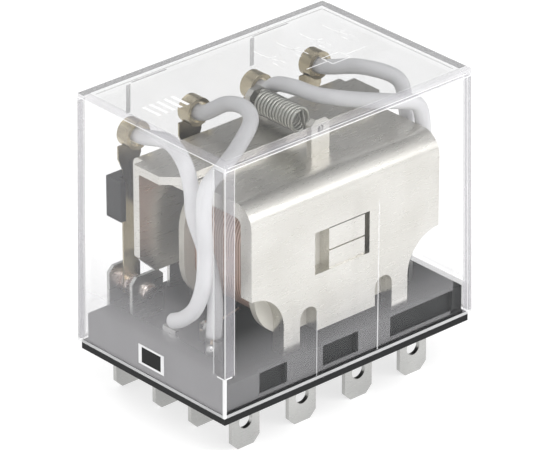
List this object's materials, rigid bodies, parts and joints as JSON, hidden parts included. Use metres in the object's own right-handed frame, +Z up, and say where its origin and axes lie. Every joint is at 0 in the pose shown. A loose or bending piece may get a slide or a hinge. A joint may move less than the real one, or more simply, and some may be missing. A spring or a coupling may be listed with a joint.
{
  "type": "plug in relay",
  "caption": "Plug-in changeover power relay: flat blades under a black base, and a hinged-armature electromagnet with leaf contacts inside a clear dust cover.",
  "frame": {"origin": "centre of the base flange's underside, where the relay seats on its socket", "axes": "+X along the long side, +Y towards the contact side, away from the yoke, +Z up through the cover; the blades point along -Z"},
  "size_m": [0.0422, 0.028, 0.0422],
  "materials": {
    "clear_cover": "clear moulded polycarbonate, polished",
    "black_plastic": "moulded black thermoset",
    "nickel_plate": "satin nickel plated steel",
    "bobbin_plastic": "natural nylon",
    "coil_tape": "wound enamelled wire under thin tape",
    "spring_wire": "drawn spring wire",
    "tinned_brass": "tin plated stamped strip",
    "silver_contact": "silver alloy, slightly dull",
    "spring_bronze": "rolled spring bronze",
    "white_sleeve": "soft white silicone sleeve"
  },
  "bodies": {
    "root": {"dust_cover": "clear_cover", "base": "black_plastic", "yoke": "nickel_plate", "core": "nickel_plate", "bobbin": "bobbin_plastic", "coil_winding": "coil_tape", "return_spring": "spring_wire", "nc_terminal_1": "tinned_brass", "no_terminal_1": "tinned_brass", "common_terminal_1": "tinned_brass", "nc_contact_1": "silver_contact", "no_contact_1": "silver_contact", "lead_sleeve_1": "white_sleeve", "nc_terminal_2": "tinned_brass", "no_terminal_2": "tinned_brass", "common_terminal_2": "tinned_brass", "nc_contact_2": "silver_contact", "no_contact_2": "silver_contact", "lead_sleeve_2": "white_sleeve", "nc_terminal_3": "tinned_brass", "no_terminal_3": "tinned_brass", "common_terminal_3": "tinned_brass", "nc_contact_3": "silver_contact", "no_contact_3": "silver_contact", "lead_sleeve_3": "white_sleeve", "nc_terminal_4": "tinned_brass", "no_terminal_4": "tinned_brass", "common_terminal_4": "tinned_brass", "nc_contact_4": "silver_contact", "no_contact_4": "silver_contact", "lead_sleeve_4": "white_sleeve", "coil_terminal_1": "tinned_brass", "coil_terminal_2": "tinned_brass"},
    "armature": {"armature": "nickel_plate", "contact_carrier": "black_plastic", "contact_spring_1": "spring_bronze", "contact_spring_2": "spring_bronze", "contact_spring_3": "spring_bronze", "contact_spring_4": "spring_bronze", "moving_contact_1": "silver_contact", "moving_contact_2": "silver_contact", "moving_contact_3": "silver_contact", "moving_contact_4": "silver_contact"}
  },
  "joints": [
    {"name": "armature_pull", "type": "hinge", "parent": "root", "child": "armature", "pos_m": [0, 0.0061, 0.0269], "axis": [-1, 0, 0], "range_deg": [0, 4.4], "stiffness_Nm_per_rad": 0.02, "springref_deg": -11.46, "deforming": ["return_spring", "lead_sleeve_1", "lead_sleeve_2", "lead_sleeve_3", "lead_sleeve_4"]}
  ]
}
